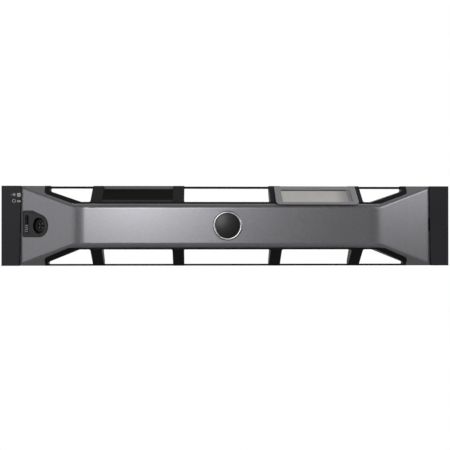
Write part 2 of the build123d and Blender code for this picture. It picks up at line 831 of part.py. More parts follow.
def make_nameplate():
    """Dark plate over an upper window: it slopes with the struts and ends at the rail's front."""
    foot_z = window_edge_z + seat_gap

    def behind(depth, low_z, high_z, back_y):
        plane = strut_plane(nameplate_left, nameplate_right, -depth)
        space = plane * extrude(Rectangle(far, far), amount=-far)
        return space & block((nameplate_left, nameplate_right), (-far, back_y), (low_z, high_z))

    plate = behind(nameplate_recess, foot_z, half_height - top_rail_drop, -rail_depth - seat_gap)
    plate += behind(nameplate_recess - nameplate_lip_height, foot_z, foot_z + nameplate_lip,
                    -rail_depth - seat_gap)
    plate -= behind(nameplate_recess + nameplate_thickness, foot_z - overlap, bezel_height, 0)
    width = nameplate_right - nameplate_left
    outline = Pos(nameplate_left + width / 2, foot_z) * Rectangle(
        width, bezel_height, align=(Align.CENTER, Align.MIN))
    outline = fillet(outline.vertices().sort_by(Axis.Y)[:2], nameplate_corner_radius)
    return plate & prism(outline)


def label_plane(height=0.0):
    """Front face of the label holder, with its own Z pointing outwards."""
    return strut_plane(label_left, label_right, running_gap + label_thickness + height)


def label_rectangle(left, right, bottom_z, top_z, corner=0.0):
    """Rectangle on the label holder's face, its height given as seen from the front."""
    plane = label_plane()
    slope = plane.y_dir.Z
    low = (bottom_z - plane.origin.Z) / slope
    high = (top_z - plane.origin.Z) / slope
    middle = Pos((left + right) / 2 - label_left, (low + high) / 2)
    if corner == 0:
        return middle * Rectangle(right - left, high - low)
    return middle * RectangleRounded(right - left, high - low, corner)


def label_pane_outline(growth):
    """Window of the label holder, in the holder's own plane."""
    return label_rectangle(label_pane_left - growth, label_pane_right + growth,
                           label_pane_bottom_z - growth, label_pane_top_z + growth, label_pane_corner)


def make_label_frame():
    """Grey label holder: a sloping frame over two struts, with a ledge for its window."""
    plate = extrude(label_rectangle(label_left - overlap, label_right + overlap, 0, bezel_height),
                    amount=-label_thickness)
    plate -= extrude(label_pane_outline(seat_gap), amount=-label_pane_recess - label_pane_thickness)
    plate -= extrude(label_pane_outline(-label_ledge), amount=-2 * label_thickness)
    grip_left = label_pane_right + label_ledge / 2
    grip = label_rectangle(grip_left, grip_left + label_grip_width, label_pane_bottom_z, label_pane_top_z,
                           label_ledge / 2)
    plate -= extrude(grip, amount=-label_grip_depth)
    notch_x = (label_pane_left + label_pane_right) / 2
    notch = label_rectangle(notch_x - label_notch_width / 2, notch_x + label_notch_width / 2,
                            label_pane_top_z, label_pane_top_z + label_notch_height, label_ledge / 2)
    plate -= extrude(notch, amount=-label_pane_recess)
    outline = Pos((label_left + label_right) / 2, (label_top_z + label_bottom_z) / 2) * Rectangle(
        label_right - label_left, label_top_z - label_bottom_z)
    outline = fillet(outline.vertices().sort_by(Axis.Y)[:2], label_corner_radius)
    return (label_plane() * plate) & prism(outline)


def make_label_pane():
    """Frosted window lying on the ledge of the label holder."""
    pane = extrude(label_pane_outline(0), amount=-label_pane_thickness)
    return label_plane(-label_pane_recess) * pane


def make_escutcheon():
    """Charcoal panel let into the flare, with a raised rim and an oval cup for the lock."""
    panel = extrude(escutcheon_outline(), amount=escutcheon_plate)
    rim = offset(escutcheon_outline(), amount=-escutcheon_rim_inset)
    rim -= offset(escutcheon_outline(), amount=-escutcheon_rim_inset - escutcheon_rim)
    panel += Pos(0, 0, escutcheon_plate) * extrude(rim, amount=escutcheon_rim_height)
    panel = Pos(0, 0, -escutcheon_pocket) * panel
    cup_depth = dish_depth + dish_floor
    panel += Pos(0, 0, -cup_depth) * extrude(dish_outline(dish_wall), amount=cup_depth)
    panel -= Pos(0, 0, -dish_depth) * extrude(dish_outline(), amount=2 * dish_depth)
    panel -= Cylinder(barrel_radius + seat_gap, 4 * cup_depth)
    panel -= extrude(slot_outline(), amount=return_depth, both=True)
    return on_flare(panel)


def make_lock_barrel():
    """Fixed body of the key lock, with a flange in the cup."""
    flange = raised_rod(barrel_flange_radius, barrel_flange_height)
    flange = chamfer(flange.edges().sort_by(Axis.Z)[-1], barrel_flange_chamfer)
    barrel = flange + sunk_rod(barrel_radius, barrel_length)
    barrel -= Cylinder(plug_radius + plug_clearance, 4 * barrel_length)
    return on_flare(barrel, dish_depth)


def make_lock_plug():
    """Turning plug of the lock: a ring-shaped key groove in front, a square tail behind."""
    front = barrel_flange_height - plug_recess
    back = -barrel_length - cam_gap
    plug = Pos(0, 0, back) * raised_rod(plug_radius, front - back)
    groove = Cylinder(key_groove_outer, key_groove_depth) - Cylinder(key_groove_inner, key_groove_depth)
    plug -= Pos(0, 0, front - key_groove_depth / 2) * groove
    plug -= Pos(key_groove_outer, 0, front) * Box(key_notch, key_notch, key_groove_depth)
    plug += Pos(0, 0, back) * Box(cam_square, cam_square, cam_thickness,
                                  align=(Align.CENTER, Align.CENTER, Align.MAX))
    return on_flare(plug, dish_depth)


def make_lock_nut():
    """Hexagon nut that clamps the lock behind the cup."""
    nut = extrude(RegularPolygon(lock_nut_width / 2, 6, major_radius=False), amount=-lock_nut_height)
    nut -= Cylinder(barrel_radius + plug_clearance, 4 * lock_nut_height)
    return on_flare(nut, dish_depth + dish_floor)


def make_lock_cam():
    """Steel cam on the plug's tail; it hangs down unlocked and turns out behind the rack ear."""
    length = cam_length - cam_width / 2
    arm = Pos(0, -length / 2) * Rectangle(cam_width, length)
    outline = arm + Circle(cam_root_radius) + Pos(0, -length) * Circle(cam_width / 2)
    cam = extrude(outline, amount=-cam_thickness)
    cam -= Box(cam_square + seat_gap, cam_square + seat_gap, 4 * cam_thickness)
    return on_flare(cam, dish_depth + barrel_length + cam_gap)


def make_cam_screw():
    """Screw that holds the cam on the plug."""
    head = sunk_rod(cam_screw_radius, cam_screw_height)
    head -= Pos(0, 0, -cam_screw_height) * Box(2 * cam_screw_radius, cam_screw_slot_width,
                                               2 * cam_screw_slot_depth)
    depth = dish_depth + barrel_length + cam_gap + cam_thickness
    return on_flare(head, depth)


def latch_arm_x():
    """Middle of the latch arm, which runs straight back from the latch bar."""
    return flare_plane.from_local_coords((slot_offset, 0, -(latch_bar_setback + guide_depth) / 2)).X


def latch_arm_box(gap, travel):
    """Space of the latch arm, grown by a gap and by the latch's travel."""
    x = latch_arm_x()
    top = latch_bar_top - latch_arm_drop
    return block((x - latch_arm_width / 2 - gap, x + latch_arm_width / 2 + gap),
                 (-latch_arm_root, latch_arm_reach),
                 (top - latch_arm_height - gap, top + gap + travel))


def make_latch_bar():
    """Steel bar behind the flare, with an arm that reaches back and hooks over the ear."""
    half = latch_bar_width / 2
    bar = flare_block((slot_offset - half, slot_offset + half), (latch_bar_bottom, latch_bar_top),
                      (latch_bar_setback, latch_bar_setback + latch_bar_thickness))
    hole = Cylinder(slider_post_radius + plug_clearance, 4 * return_depth)
    bar -= on_flare(hole, 0, slot_offset, slider_middle)
    bar += latch_arm_box(0, 0)
    x = latch_arm_x()
    low = latch_bar_top - latch_arm_drop - latch_arm_height
    hook_y = (latch_arm_reach - latch_hook_length, latch_arm_reach)
    bar += block((x - latch_arm_width / 2, x + latch_arm_width / 2), hook_y,
                 (low - latch_hook_drop, low + overlap))
    return bar


def make_release_slider():
    """Thumb slider in the slot: a ribbed knob with a post riveted through the latch bar."""
    width = slot_width - 2 * running_gap
    knob = Box(width, slider_height, latch_bar_setback + slider_proud,
               align=(Align.CENTER, Align.CENTER, Align.MIN))
    knob = Pos(0, 0, -latch_bar_setback) * knob
    for index in range(slider_rib_count):
        level = (index - (slider_rib_count - 1) / 2) * slider_rib_pitch
        rib = Rot(0, 90, 0) * Cylinder(slider_rib_height, width)
        knob += Pos(0, level, slider_proud) * rib
    post = Pos(0, 0, -latch_bar_setback) * sunk_rod(slider_post_radius, latch_bar_thickness)
    rivet = Pos(0, 0, -latch_bar_setback - latch_bar_thickness) * sunk_rod(rivet_radius, rivet_height)
    return on_flare(knob + post + rivet, 0, slot_offset, slider_middle)


def make_latch_cover():
    """Plate that closes the latch guides from behind, slotted for the latch arm."""
    outer = latch_bar_width / 2 + running_gap + guide_wall
    plate = block((slot_offset - outer, slot_offset + outer), (cover_bottom, guide_top),
                  (-latch_cover_thickness, 0))
    for across, up in cover_screw_places:
        plate += Pos(across, up) * sunk_rod(cover_ear_radius, latch_cover_thickness)
    plate = on_flare(plate, guide_depth)
    for across, up in cover_screw_places:
        plate -= on_flare(Cylinder(screw_radius + screw_clearance, 4 * return_depth), 0, across, up)
    plate -= latch_arm_box(running_gap, latch_travel + running_gap)
    return plate


def make_cover_screws():
    """Two screws through the latch cover."""
    screws = [
        on_flare(Rot(180, 0, 0) * screw(latch_cover_thickness + short_thread),
                 guide_depth + latch_cover_thickness, across, up)
        for across, up in cover_screw_places
    ]
    return Compound(children=[part for shape in screws for part in shape.solids()])


def make_latch_spring():
    """Compression spring between the latch bar and the top of its guides."""
    bottom = latch_bar_top + spring_wire_radius
    top = guide_top - guide_wall - spring_wire_radius
    pitch = (top - bottom) / spring_turns
    helix = Helix(pitch, top - bottom, spring_radius)
    start = Plane(origin=helix @ 0, z_dir=helix % 0)
    wire = sweep(start * Circle(spring_wire_radius), path=helix)
    seat = flare_plane.from_local_coords((slot_offset, bottom, -spring_depth))
    return Pos(*seat) * wire


def make_hinge_bracket():
    """Steel bracket let into the right end plate, with two hooks bent out behind it."""
    half = bracket_width / 2
    plate = block((bracket_x - half, bracket_x + half), (-bracket_thickness, 0),
                  (-bracket_height / 2, bracket_height / 2))
    for level in (-1, 1):
        low, high = level * hook_z - hook_width / 2, level * hook_z + hook_width / 2
        plate += block((bracket_x, bracket_x + bracket_thickness), (-bracket_thickness, hook_reach),
                       (low, high))
        plate += block((bracket_x, bracket_x + hook_tip), (hook_reach - bracket_thickness, hook_reach),
                       (low, high))
    for z in bracket_screw_levels:
        place = rear_facing(bracket_x, 0, z)
        plate -= place * Cylinder(screw_pilot_radius + screw_clearance, 4 * bracket_thickness)
        plate -= place * countersink(seat_gap)
    return plate


def countersink(gap=0.0):
    """Cone of a flush screw head, its flat top at zero and its point downwards."""
    depth = flush_head_radius - screw_pilot_radius
    return Cone(screw_pilot_radius + gap, flush_head_radius + gap, depth,
                align=(Align.CENTER, Align.CENTER, Align.MAX))


def make_bracket_screws():
    """Two flush screws through the hinge bracket."""
    screws = []
    for z in bracket_screw_levels:
        shank = sunk_rod(screw_pilot_radius - plug_clearance, end_plate_thickness)
        screws.append(rear_facing(bracket_x, 0, z) * (countersink() + shank))
    return Compound(children=[part for shape in screws for part in shape.solids()])


def driven_screws(places, seat_y, length):
    """Pan-head screws driven in from behind at the places given."""
    screws = []
    for (x, z), y in zip(places, seat_y):
        screws.append(rear_facing(x, y, z) * screw(length))
    return Compound(children=[part for shape in screws for part in shape.solids()])


def make_fascia_screws():
    """Screws through the frame's bridges and end plates into the fascia's bosses."""
    bar_places = [(x, 0) for x in bar_boss_positions]
    bar_seats = [bow_y(x) + bridge_setback + bridge_thickness for x in bar_boss_positions]
    flare_places = flare_boss_places()
    flare_seats = [-counterbore_depth] * len(flare_places)
    return driven_screws(bar_places + flare_places, bar_seats + flare_seats, screw_thread)


def make_cap_screws():
    """Screws through the frame's tongues into the end caps."""
    places = cap_boss_places()
    return driven_screws(places, [-counterbore_depth] * len(places), cap_screw_thread)


nodes = {
    "inner_frame": make_inner_frame,
    "outer_fascia": make_outer_fascia,
    "left_end_cap": lambda: make_end_cap(-1),
    "right_end_cap": lambda: make_end_cap(1),
    "badge_ring": make_badge_ring,
    "badge_disc": make_badge_disc,
    "badge_clip": make_badge_clip,
    "nameplate": make_nameplate,
    "label_frame": make_label_frame,
    "label_pane": make_label_pane,
    "lock_escutcheon": make_escutcheon,
    "lock_barrel": make_lock_barrel,
    "lock_plug": make_lock_plug,
    "lock_nut": make_lock_nut,
    "lock_cam": make_lock_cam,
    "cam_screw": make_cam_screw,
    "release_slider": make_release_slider,
    "latch_bar": make_latch_bar,
    "latch_cover": make_latch_cover,
    "latch_cover_screws": make_cover_screws,
    "latch_spring": make_latch_spring,
    "status_lens": lambda: make_lens(status_lens_z, status_lens_height),
    "power_lens": lambda: make_lens(power_lens_z, power_lens_height),
    "hinge_bracket": make_hinge_bracket,
    "bracket_screws": make_bracket_screws,
    "fascia_screws": make_fascia_screws,
    "end_cap_screws": make_cap_screws,
}

if __name__ == "__main__":
    os.makedirs("parts", exist_ok=True)
    for name, make in nodes.items():
        export_step(make(), f"parts/{name}.step")
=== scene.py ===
import json
import math

import bmesh
import bpy
from mathutils import Matrix, Vector
from mathutils.bvhtree import BVHTree


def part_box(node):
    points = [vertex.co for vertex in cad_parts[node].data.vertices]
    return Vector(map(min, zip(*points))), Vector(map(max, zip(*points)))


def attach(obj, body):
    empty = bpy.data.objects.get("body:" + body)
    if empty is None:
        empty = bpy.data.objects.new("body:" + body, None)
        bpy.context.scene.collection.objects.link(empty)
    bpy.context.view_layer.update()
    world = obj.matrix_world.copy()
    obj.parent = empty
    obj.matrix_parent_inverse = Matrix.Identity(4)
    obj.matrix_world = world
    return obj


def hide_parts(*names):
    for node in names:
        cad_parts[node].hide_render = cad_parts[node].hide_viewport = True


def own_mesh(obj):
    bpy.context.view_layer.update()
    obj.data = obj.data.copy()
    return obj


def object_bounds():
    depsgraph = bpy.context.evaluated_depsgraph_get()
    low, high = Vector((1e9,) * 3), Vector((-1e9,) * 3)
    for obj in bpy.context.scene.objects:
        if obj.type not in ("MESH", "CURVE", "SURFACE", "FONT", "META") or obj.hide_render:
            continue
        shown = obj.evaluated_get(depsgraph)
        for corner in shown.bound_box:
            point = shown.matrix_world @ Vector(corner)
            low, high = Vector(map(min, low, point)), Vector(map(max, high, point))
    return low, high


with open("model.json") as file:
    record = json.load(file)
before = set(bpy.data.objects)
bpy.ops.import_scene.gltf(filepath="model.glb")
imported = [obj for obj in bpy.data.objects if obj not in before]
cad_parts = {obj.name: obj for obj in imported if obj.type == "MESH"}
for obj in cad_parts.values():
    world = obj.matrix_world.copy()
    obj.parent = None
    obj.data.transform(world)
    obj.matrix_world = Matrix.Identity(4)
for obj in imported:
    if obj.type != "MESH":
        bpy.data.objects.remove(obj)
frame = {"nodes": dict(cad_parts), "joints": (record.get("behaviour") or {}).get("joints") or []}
cad_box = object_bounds()


# Inner frame: the black moulding that carries everything else, with its rails, struts and window
# borders. It is injection-moulded in one piece of glass-filled plastic with a fine spark texture,
# and every edge has the small radius of its mould.
class Socket:
    """One output of a material's nodes; arithmetic on it adds the Math nodes."""

    def __init__(self, owner, output):
        self.owner = owner
        self.output = output

    def math(self, operation, first, second):
        return self.owner.node("ShaderNodeMath", {"operation": operation}, {0: first, 1: second})

    def __add__(self, other):
        return self.math("ADD", self, other)

    def __radd__(self, other):
        return self.math("ADD", other, self)

    def __sub__(self, other):
        return self.math("SUBTRACT", self, other)

    def __rsub__(self, other):
        return self.math("SUBTRACT", other, self)

    def __mul__(self, other):
        return self.math("MULTIPLY", self, other)

    def __rmul__(self, other):
        return self.math("MULTIPLY", other, self)

    def clamped(self):
        """The same values, held between zero and one."""
        return self.owner.node("ShaderNodeClamp", {}, {"Value": self})


class Nodes:
    """A tree of shader nodes, which grows by one method."""

    def __init__(self, tree):
        self.tree = tree

    def node(self, kind, settings, sockets, output=0):
        """Adds a node: its settings first, then the values or links of its sockets."""
        made = self.tree.nodes.new(kind)
        for key, value in settings.items():
            setattr(made, key, value)
        for key, value in sockets.items():
            if isinstance(value, Socket):
                self.tree.links.new(value.output, made.inputs[key])
            else:
                made.inputs[key].default_value = value
        return Socket(self, made.outputs[output])


class Finish(Nodes):
    """One material of the bezel: its constants on the shader, its patterns from nodes."""

    def __init__(self, name, **constants):
        self.material = bpy.data.materials.new(name)
        self.material.use_nodes = True
        super().__init__(self.material.node_tree)
        self.shader = self.tree.nodes["Principled BSDF"]
        for key, value in constants.items():
            self.shader.inputs[key.replace("_", " ")].default_value = value

    def place(self):
        """Object coordinates, in metres, in the bezel's own frame."""
        return self.node("ShaderNodeTexCoord", {}, {}, "Object")

    def noise(self, scale, detail=2.0, stretch=(1.0, 1.0, 1.0)):
        """Soft noise around 0.5, with cells of 1 / scale metres."""
        vector = self.node("ShaderNodeMapping", {}, {"Vector": self.place(), "Scale": stretch})
        return self.node("ShaderNodeTexNoise", {},
                         {"Vector": vector, "Scale": scale, "Detail": detail}, "Fac")

    def feed(self, **sources):
        """Links patterns to the shader's sockets."""
        for key, source in sources.items():
            self.tree.links.new(source.output, self.shader.inputs[key.replace("_", " ")])

    def blend(self, mask, first, second):
        """Colour that goes from the first to the second with a mask."""
        colours = [one if isinstance(one, Socket) else (*one, 1.0) for one in (first, second)]
        return self.node("ShaderNodeMix", {"data_type": "RGBA"},
                         {"Factor": mask, 6: colours[0], 7: colours[1]}, 2)

    def beyond(self, start, end, direction):
        """Mask that rises from zero to one between two distances along a direction."""
        reach = self.node("ShaderNodeVectorMath", {"operation": "DOT_PRODUCT"},
                          {0: self.place(), 1: direction}, "Value")
        return self.node("ShaderNodeMapRange", {"interpolation_type": "SMOOTHSTEP"},
                         {"Value": reach, "From Min": start, "From Max": end})

    def grain(self, height, strength, distance):
        """Surface relief from a pattern of heights."""
        self.feed(Normal=self.node("ShaderNodeBump", {},
                                   {"Height": height, "Strength": strength, "Distance": distance}))


texture_cells, texture_depth = 2600.0, 0.00006


def moulded_plastic(name, dark, light, roughness, relief):
    """Textured plastic: faint colour drift, fine grain and slightly uneven gloss."""
    finish = Finish(name, Specular_IOR_Level=0.1)
    drift = finish.noise(28.0, 3.0)
    grain = finish.noise(texture_cells, 1.0)
    finish.feed(Base_Color=finish.blend(drift, dark, light))
    finish.feed(Roughness=(roughness - 0.06) + drift * 0.08 + grain * 0.04)
    finish.grain(grain, relief, texture_depth)
    return finish.material


def shown(form, mesh, name, material):
    """Puts a form into a mesh, which the scene then shows in one material."""
    form.to_mesh(mesh)
    form.free()
    mesh.materials.clear()
    mesh.materials.append(material)
    piece = bpy.data.objects.new(name, mesh)
    bpy.context.scene.collection.objects.link(piece)
    return piece


same_point, flat_angle, sharp_angle = 0.000002, math.radians(0.5), math.radians(32.0)


def moulded_copy(node, name, edge_radius, material, body="bezel"):
    """A CAD node's own shape with the small edge radii of the real piece and smooth curves."""
    mesh = frame["nodes"][node].data.copy()
    form = bmesh.new()
    form.from_mesh(mesh)
    bmesh.ops.remove_doubles(form, verts=form.verts, dist=same_point)
    bmesh.ops.dissolve_limit(form, angle_limit=flat_angle, verts=form.verts, edges=form.edges)
    for face in form.faces:
        face.smooth = True
    for edge in form.edges:
        edge.smooth = edge.calc_face_angle(0.0) < sharp_angle
    piece = shown(form, mesh, name, material)
    if edge_radius > 0:
        bevel = piece.modifiers.new("edge radius", "BEVEL")
        bevel.width = edge_radius
        bevel.segments = 2
        bevel.limit_method = "ANGLE"
        bevel.angle_limit = sharp_angle
        bevel.harden_normals = True
    shading = piece.modifiers.new("even shading", "WEIGHTED_NORMAL")
    shading.keep_sharp = True
    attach(piece, body)
    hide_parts(node)
    return piece


black_plastic = moulded_plastic("black spark-textured plastic", (0.0042, 0.0042, 0.0044),
                                (0.0064, 0.0064, 0.0068), roughness=0.50, relief=0.25)
moulded_copy("inner_frame", "inner_frame_moulding", 0.00025, black_plastic)


# Outer fascia: the grey front moulding, a bowed bar that flares into a sloping panel at each end.
# It is a thin plastic shell with bosses behind, sprayed with a satin silver-grey metallic paint,
# and screwed to the inner frame from the back.
silver_paint = Finish("satin silver-grey metallic paint", Metallic=0.5, Specular_IOR_Level=0.5)
flake = silver_paint.noise(5200.0, 0.0)
cloud = silver_paint.noise(14.0, 2.0)
mottle = silver_paint.noise(330.0, 3.0)
silver_paint.feed(Base_Color=silver_paint.blend(flake * 0.3 + mottle * 0.5 + cloud * 0.2,
                                                (0.138, 0.136, 0.147), (0.228, 0.226, 0.241)))
silver_paint.feed(Roughness=0.26 + cloud * 0.03 + flake * 0.03 + mottle * 0.05)
silver_paint.grain(silver_paint.noise(900.0, 2.0), 0.12, 0.00004)
moulded_copy("outer_fascia", "outer_fascia_moulding", 0.0, silver_paint.material)


# End caps: the charcoal block at each end, screwed to the frame's tongues from behind. They are
# moulded in a dark grey plastic with a finer texture than the frame.
charcoal_plastic = moulded_plastic("charcoal fine-textured plastic", (0.0214, 0.0209, 0.0238),
                                   (0.0274, 0.0269, 0.0302), roughness=0.48, relief=0.18)
moulded_copy("left_end_cap", "left_end_cap_moulding", 0.0002, charcoal_plastic)
moulded_copy("right_end_cap", "right_end_cap_moulding", 0.0002, charcoal_plastic)


# Light pipes: two clear acrylic windows in the left end cap that carry the enclosure's indicators
# to the front. Unlit, they look pale grey against the cap.
clear_acrylic = Finish("clear acrylic light pipe", IOR=1.49, Coat_Weight=0.3)
haze = clear_acrylic.noise(300.0, 2.0)
clear_acrylic.feed(Base_Color=clear_acrylic.blend(haze, (0.115, 0.115, 0.118), (0.165, 0.165, 0.165)))
clear_acrylic.feed(Roughness=0.18 + haze * 0.1)
moulded_copy("status_lens", "status_lens_face", 0.0, clear_acrylic.material)
moulded_copy("power_lens", "power_lens_face", 0.0, clear_acrylic.material)


# Pictograms: a small star with a dash and a plain ring, printed in pale grey ink beside the light
# pipes. The ink is a thin film that follows the cap's face.
ink_height, ink_depth = 0.00004, 0.00012
star_offset, star_radius, star_waist = (-0.0044, 0.0003), 0.0021, 0.0009
dash_offset, dash_half_length, dash_half_width = (-0.0070, 0.0002), 0.0011, 0.00025
ring_offset, ring_outer, ring_inner = (-0.0047, 0.0004), 0.0019, 0.0013

pale_ink = Finish("pale grey printing ink", Specular_IOR_Level=0.3)
ink_wear = pale_ink.noise(1800.0, 2.0)
pale_ink.feed(Base_Color=pale_ink.blend(ink_wear, (0.26, 0.26, 0.262), (0.36, 0.36, 0.362)))
pale_ink.feed(Roughness=0.5 + ink_wear * 0.1)


def beside(node, offset):
    """Place in the seating plane, level with a light pipe and to its left."""
    low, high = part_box(node)
    middle = (low + high) / 2
    return Matrix.Translation((middle.x + offset[0], 0.0, middle.z + offset[1]))


def printed(form, name):
    """Flat marks, laid on the left end cap's face as a film of ink."""
    cap = bmesh.new()
    cap.from_mesh(frame["nodes"]["left_end_cap"].data)
    face_of_cap = BVHTree.FromBMesh(cap)
    cap.free()
    bmesh.ops.reverse_faces(form, faces=[face for face in form.faces if face.normal.y > 0])
    front = form.verts[:]
    film = bmesh.ops.extrude_face_region(form, geom=form.faces[:])["geom"]
    back = [item for item in film if isinstance(item, bmesh.types.BMVert)]
    for verts, lift in ((front, -ink_height), (back, ink_depth)):
        for vert in verts:
            hit = face_of_cap.ray_cast((vert.co.x, cad_box[0][1], vert.co.z), (0, 1, 0))[0]
            vert.co.y = hit.y + lift
    bmesh.ops.recalc_face_normals(form, faces=form.faces)
    mark = shown(form, bpy.data.meshes.new(name), name, pale_ink.material)
    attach(mark, "bezel")


upright = Matrix.Rotation(math.radians(90.0), 4, "X")
star = bmesh.new()
points = bmesh.ops.create_circle(star, cap_ends=True, segments=16, radius=star_radius,
                                 matrix=upright)["verts"]
bmesh.ops.scale(star, vec=Vector((1, 1, 1)) * star_waist / star_radius, verts=points[::2])
bmesh.ops.transform(star, matrix=beside("status_lens", star_offset), verts=points)
dash = bmesh.ops.create_grid(star, x_segments=1, y_segments=1, size=1.0, matrix=upright)["verts"]
bmesh.ops.scale(star, vec=(dash_half_length, 1.0, dash_half_width), verts=dash)
bmesh.ops.transform(star, matrix=beside("status_lens", dash_offset), verts=dash)
printed(star, "status_pictogram")

ring_mark = bmesh.new()
for radius in (ring_outer, ring_inner):
    bmesh.ops.create_circle(ring_mark, segments=36, radius=radius, matrix=upright)
bmesh.ops.bridge_loops(ring_mark, edges=ring_mark.edges[:])
bmesh.ops.transform(ring_mark, matrix=beside("power_lens", ring_offset), verts=ring_mark.verts)
printed(ring_mark, "power_pictogram")


# Badge: a bright plated ring and a plain dark domed disc, pressed into a round pocket in the middle
# of the bar and held behind it by a push nut on the disc's post. The ring has a rounded section.
ring_section = 0.0013
ring_crown, ring_foot = 0.0016, 0.0008
flank_shade_depth, crest_unshaded_depth = 0.0006, 0.0001
ring_steps = 128

chrome = Finish("bright plating", Metallic=1.0)
smear = chrome.noise(160.0, 2.0)
ring_low, ring_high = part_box("badge_ring")
ring_front = -ring_low[1]
# Painted shade: the ring's flanks are painted dark as shade in the gaps beside it; only the crest keeps the
# plating's bright colour.
unshaded_crest = chrome.beyond(ring_front - flank_shade_depth, ring_front - crest_unshaded_depth, (0.0, -1.0, 0.0))
chrome.feed(Base_Color=chrome.blend(unshaded_crest * (0.85 + smear * 0.15),
                                    (0.035, 0.035, 0.038), (0.48, 0.48, 0.49)))
chrome.feed(Roughness=0.36 - unshaded_crest * 0.08 + smear * 0.06)

ring_radius = (ring_high[0] - ring_low[0]) / 2 - ring_section
ring_centre = (ring_low + ring_high) / 2
ring_centre.y = ring_low[1] + ring_crown
ring_form = bmesh.new()
section = bmesh.ops.create_circle(ring_form, segments=24, radius=ring_section)["verts"]
bmesh.ops.scale(ring_form, vec=(1.0, (ring_crown + ring_foot) / 2 / ring_section, 1.0), verts=section)
bmesh.ops.translate(ring_form, verts=section,
                    vec=ring_centre + Vector((ring_radius, (ring_foot - ring_crown) / 2, 0.0)))
bmesh.ops.spin(ring_form, geom=ring_form.verts[:] + ring_form.edges[:], cent=ring_centre, axis=(0, 1, 0),
               angle=math.tau, steps=ring_steps, use_merge=True)
bmesh.ops.recalc_face_normals(ring_form, faces=ring_form.faces)
for face in ring_form.faces:
    face.smooth = True
badge_ring = shown(ring_form, bpy.data.meshes.new("badge_ring_plated"), "badge_ring_plated", chrome.material)
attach(badge_ring, "bezel")
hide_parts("badge_ring")

domed_resin = Finish("dark domed resin", Coat_Weight=0.08, Coat_Roughness=0.2, Specular_IOR_Level=0.22)
depth_cloud = domed_resin.noise(60.0, 2.0)
domed_resin.feed(Base_Color=domed_resin.blend(depth_cloud, (0.007, 0.007, 0.0078), (0.012, 0.012, 0.013)))
domed_resin.feed(Roughness=0.34 + depth_cloud * 0.05)
moulded_copy("badge_disc", "badge_disc_domed", 0.0, domed_resin.material)


# Nameplate: a bare black plate that slopes with the struts over the upper left window. It is moulded
# with a lip along its foot and a border before the rail, and its ends close on the struts.
plate_end, left_reach, right_reach = 0.006, 0.00082, 0.00022
lip_highlight_height, lip_highlight_blur, top_highlight_height, top_highlight_blur = 0.0019, 0.0004, 0.0034, 0.0008
border_drop, border_rise, border_front, border_back = 0.0014, 0.0005, 0.0027, 0.0001

plate_low, plate_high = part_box("nameplate")
plate_black = Finish("black satin plastic", Specular_IOR_Level=0.02)
plate_grain = plate_black.noise(texture_cells, 1.0)
# Painted highlights: the lip along the plate's foot and the band along its top are painted lighter than the
# plate.
lip_highlight_top, top_highlight_foot = plate_low[2] + lip_highlight_height, plate_high[2] - top_highlight_height
lip_highlight = 1 - plate_black.beyond(lip_highlight_top, lip_highlight_top + lip_highlight_blur, (0.0, 0.0, 1.0))
top_highlight = plate_black.beyond(top_highlight_foot, top_highlight_foot + top_highlight_blur, (0.0, 0.0, 1.0))
plate_black.feed(Base_Color=plate_black.blend((lip_highlight * 0.28 + top_highlight).clamped() * (0.8 + plate_grain * 0.4),
                                              (0.0040, 0.0036, 0.0038), (0.150, 0.145, 0.148)))
plate_black.feed(Roughness=0.42 + plate_grain * 0.08)
plate_black.grain(plate_grain, 0.12, texture_depth)
nameplate = moulded_copy("nameplate", "nameplate_blank", 0.0003, plate_black.material)

plate_form = bmesh.new()
plate_form.from_mesh(nameplate.data)
for edge_x, side, reach in ((plate_low[0], -1, left_reach), (plate_high[0], 1, right_reach)):
    end = [vert for vert in plate_form.verts if abs(vert.co.x - edge_x) < plate_end]
    bmesh.ops.translate(plate_form, verts=end, vec=(side * reach, 0.0, 0.0))
border_low = Vector((plate_low[0], plate_high[1] - border_front, plate_high[2] - border_drop))
border_high = Vector((plate_high[0], plate_high[1] - border_back, plate_high[2] + border_rise))
border_place = Matrix.Translation((border_low + border_high) / 2)
bmesh.ops.create_cube(plate_form, size=1.0,
                      matrix=border_place @ Matrix.Diagonal((*(border_high - border_low), 1.0)))
plate_form.to_mesh(nameplate.data)
plate_form.free()


# Label holder: a grey painted frame clipped over two struts, with a frosted window on a ledge and a
# finger grip at its right-hand end. The window stays blank.
label_grey = Finish("satin grey paint", Specular_IOR_Level=0.4)
speck = label_grey.noise(3000.0, 1.0)
label_grey.feed(Base_Color=label_grey.blend(speck, (0.245, 0.245, 0.256), (0.285, 0.285, 0.298)))
label_grey.feed(Roughness=0.45 + speck * 0.08)
label_grey.grain(speck, 0.12, 0.00004)
moulded_copy("label_frame", "label_frame_painted", 0.0002, label_grey.material)

right_shade_start, right_shade_full, shadow_start, shadow_full = 0.016, 0.001, 0.0016, 0.0008
pane_low, pane_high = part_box("label_pane")
frosted = Finish("frosted label window", IOR=1.49, Specular_IOR_Level=0.3)
frost = frosted.noise(1500.0, 2.0)
patch = frosted.noise(70.0, 3.0)
pale = frosted.blend((frost * 0.35 + patch * 0.65), (0.50, 0.49, 0.465), (0.66, 0.645, 0.62))
# Painted shade: the window darkens towards its right end, and a painted shadow runs along its top edge.
right_painted_shade = frosted.beyond(pane_high[0] - right_shade_start, pane_high[0] - right_shade_full, (1.0, 0.0, 0.0))
top_shadow = frosted.beyond(pane_high[2] - shadow_start, pane_high[2] - shadow_full, (0.0, 0.0, 1.0))
shaded = frosted.blend(right_painted_shade * 0.8, pale, (0.30, 0.295, 0.285))
frosted.feed(Base_Color=frosted.blend(top_shadow, shaded, (0.03, 0.03, 0.03)))
frosted.feed(Roughness=0.48 + frost * 0.1)
moulded_copy("label_pane", "label_pane_frosted", 0.0, frosted.material)


